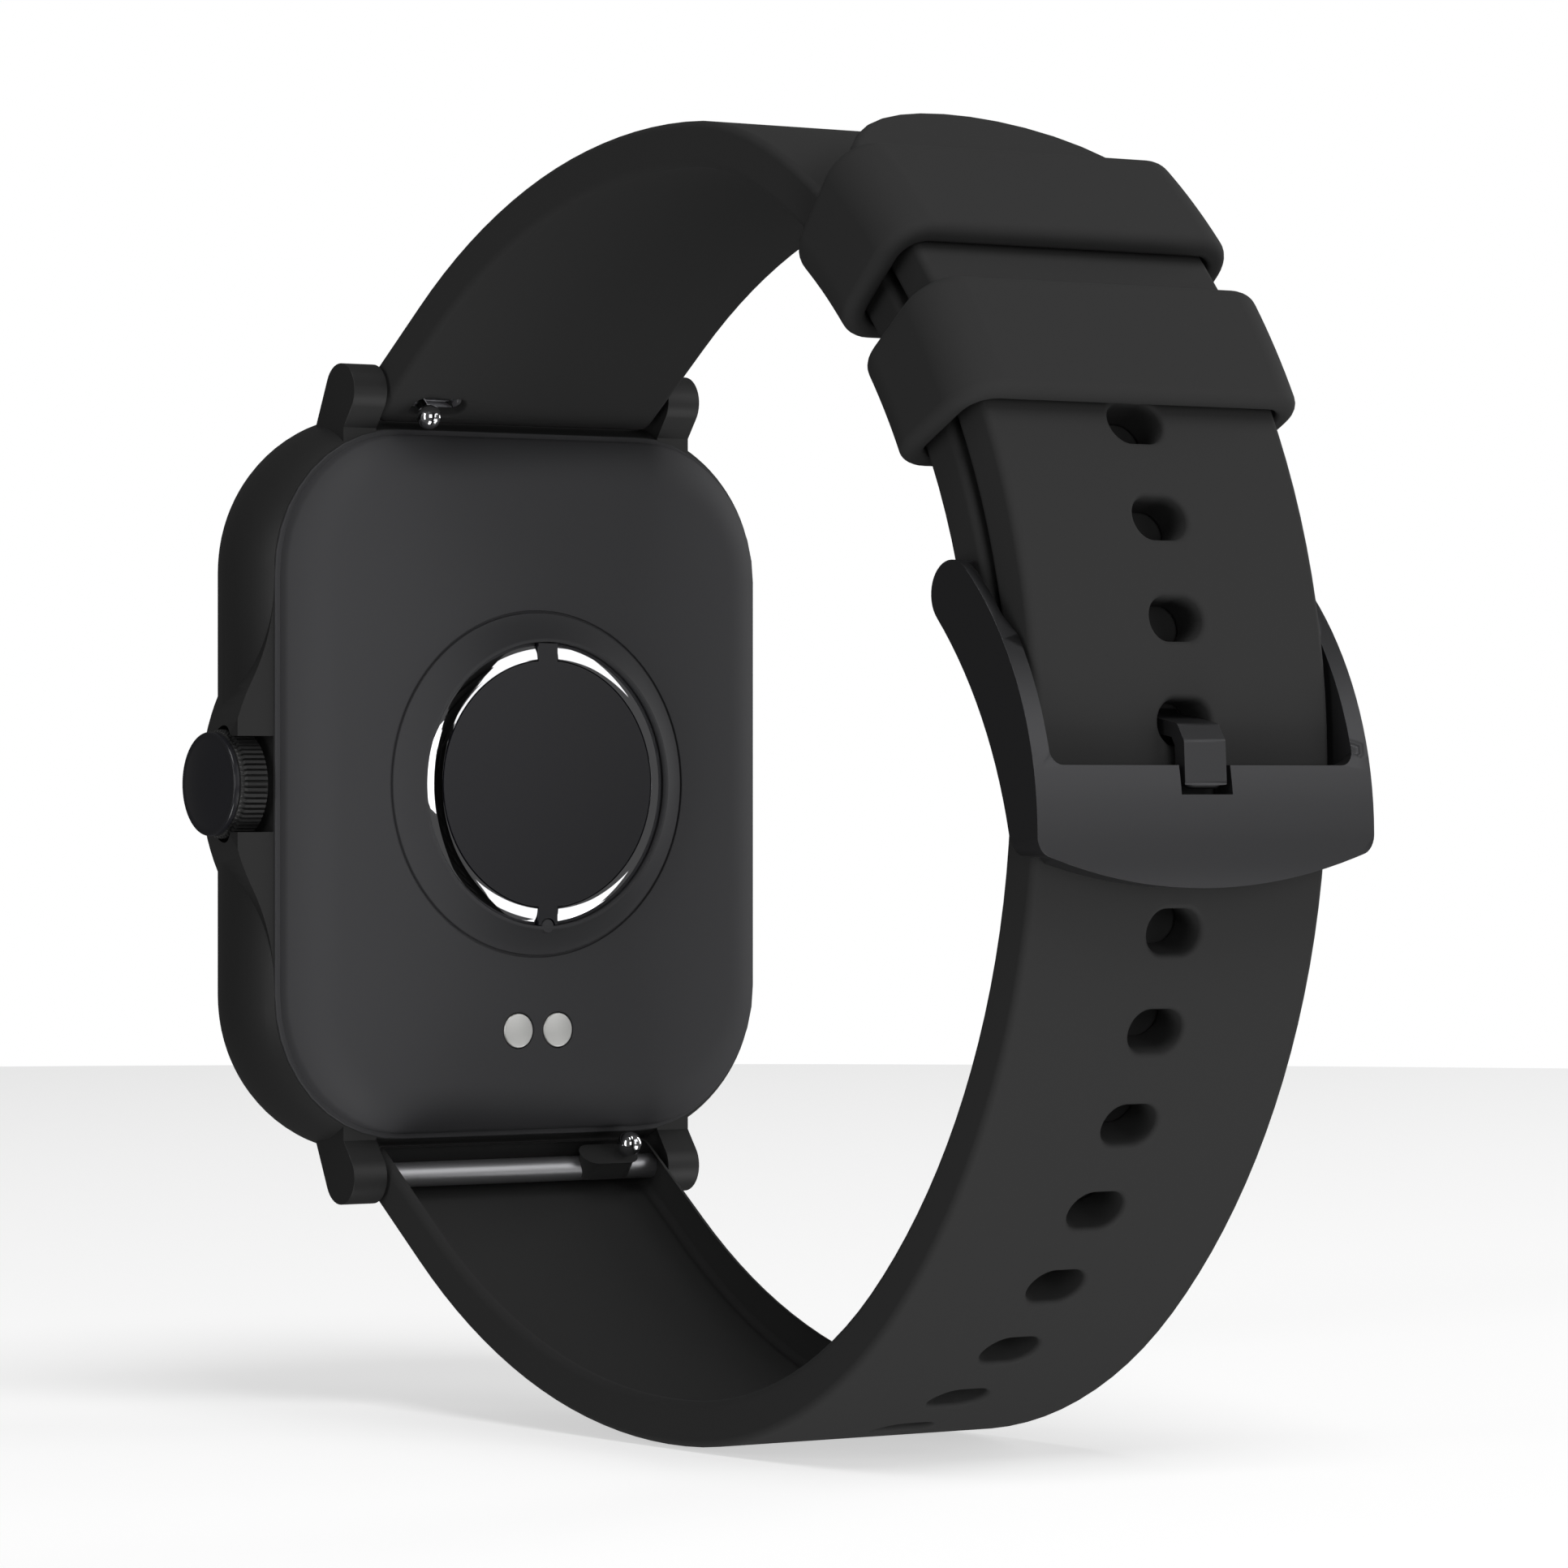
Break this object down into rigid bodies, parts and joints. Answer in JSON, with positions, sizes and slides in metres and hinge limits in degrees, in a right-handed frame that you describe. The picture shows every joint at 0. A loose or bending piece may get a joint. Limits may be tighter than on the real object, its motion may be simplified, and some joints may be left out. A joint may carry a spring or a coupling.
{
  "type": "smartwatch",
  "caption": "Smartwatch with a rounded rectangular case, side crown and optical sensor, on a soft strap buckled into a loop",
  "frame": {"origin": "centre of the case back's flat face, where the watch sits on the wrist", "axes": "+X towards the crown (3 o'clock), +Y out of the case back towards the wrist and the clasp, +Z towards 12 o'clock; the display faces -Y"},
  "size_m": [0.0387, 0.0758, 0.0745],
  "materials": {
    "case_black": "satin black coated alloy, fine grain",
    "cover_black": "satin charcoal moulding",
    "front_glass": "black glass",
    "sensor_glass": "polished black lens",
    "ring_mirror": "polished bright",
    "pad_metal": "pale satin plating",
    "silicone": "matte black silicone",
    "buckle_metal": "brushed gunmetal",
    "crown_metal": "black, turned",
    "crown_gloss": "polished black",
    "steel": "bright turned steel",
    "knob_chrome": "polished",
    "spring_steel": "drawn wire",
    "seal_rubber": "soft moulded",
    "adhesive": "foam tape",
    "chassis_metal": "stamped sheet",
    "board_green": "solder mask",
    "chip_black": "moulded package",
    "shield_tin": "tinned sheet",
    "battery_foil": "foil pouch",
    "ribbon_amber": "flexible film",
    "panel_dark": "display module",
    "magnet_nickel": "nickel plated"
  },
  "bodies": {
    "case": {"case_frame": "case_black", "rear_cover": "cover_black", "rear_gasket": "seal_rubber", "display_glass": "front_glass", "glass_adhesive": "adhesive", "display_panel": "panel_dark", "display_ribbon": "ribbon_amber", "inner_chassis": "chassis_metal", "main_board": "board_green", "board_chips": "chip_black", "board_shield": "shield_tin", "board_screws": "steel", "battery": "battery_foil", "battery_pad": "adhesive", "vibration_motor": "steel", "sensor_board": "board_green", "sensor_lights": "chip_black", "light_detectors": "chip_black", "light_barrier": "adhesive", "sensor_ribbon": "ribbon_amber", "sensor_glass": "sensor_glass", "sensor_ring": "ring_mirror", "charging_pads": "pad_metal", "charging_magnets": "magnet_nickel", "side_switch": "chip_black", "crown_tube": "steel", "crown_spring": "spring_steel", "bar_tube_upper": "steel", "bar_tube_lower": "steel", "bar_spring_upper": "spring_steel", "bar_spring_lower": "spring_steel", "buckle_strap": "silicone", "hole_strap": "silicone", "buckle_bar": "steel"},
    "crown_carrier": {"crown_clip": "spring_steel"},
    "crown": {"crown_stem": "steel", "crown_wheel": "crown_metal", "crown_cap": "crown_gloss", "crown_seal": "seal_rubber"},
    "switch_plunger": {"switch_plunger": "steel"},
    "release_upper": {"release_pin_upper": "knob_chrome"},
    "release_lower": {"release_pin_lower": "knob_chrome"},
    "keeper_upper": {"keeper_upper": "silicone"},
    "keeper_lower": {"keeper_lower": "silicone"},
    "buckle_frame": {"buckle_frame": "buckle_metal"},
    "buckle_tongue": {"buckle_tongue": "buckle_metal"}
  },
  "joints": [
    {"name": "crown_press", "type": "slide", "parent": "case", "child": "crown_carrier", "axis": [-1, 0, 0], "range_m": [0, 0.0004], "stiffness_N_per_m": 2500, "springref_m": -0.0002, "deforming": ["crown_spring"]},
    {"name": "crown_spin", "type": "hinge", "parent": "crown_carrier", "child": "crown", "pos_m": [0.018, -0.005, 0], "axis": [1, 0, 0], "continuous": true},
    {"name": "switch_press", "type": "slide", "parent": "case", "child": "switch_plunger", "axis": [-1, 0, 0], "range_m": [0, 0.0004]},
    {"name": "release_upper_slide", "type": "slide", "parent": "case", "child": "release_upper", "axis": [-1, 0, 0], "range_m": [0, 0.0022], "stiffness_N_per_m": 400, "springref_m": -0.002, "deforming": ["bar_spring_upper"]},
    {"name": "release_lower_slide", "type": "slide", "parent": "case", "child": "release_lower", "axis": [1, 0, 0], "range_m": [0, 0.0022], "stiffness_N_per_m": 400, "springref_m": -0.002, "deforming": ["bar_spring_lower"]},
    {"name": "keeper_upper_slide", "type": "hinge", "parent": "case", "child": "keeper_upper", "pos_m": [0, 0.02168, 0.00103], "axis": [1, 0, 0], "range_deg": [-1.4, 5.6]},
    {"name": "keeper_lower_slide", "type": "hinge", "parent": "case", "child": "keeper_lower", "pos_m": [0, 0.02168, 0.00103], "axis": [1, 0, 0], "range_deg": [-8.4, 1.4]},
    {"name": "buckle_swing", "type": "hinge", "parent": "case", "child": "buckle_frame", "pos_m": [0, 0.05726, 0.01003], "axis": [1, 0, 0], "range_deg": [0, 45]},
    {"name": "tongue_swing", "type": "hinge", "parent": "case", "child": "buckle_tongue", "pos_m": [0, 0.05726, 0.01003], "axis": [1, 0, 0], "range_deg": [0, 1.5]}
  ],
  "couplings": [
    {"joint": "switch_press", "follows": "crown_press", "ratio": 1}
  ]
}
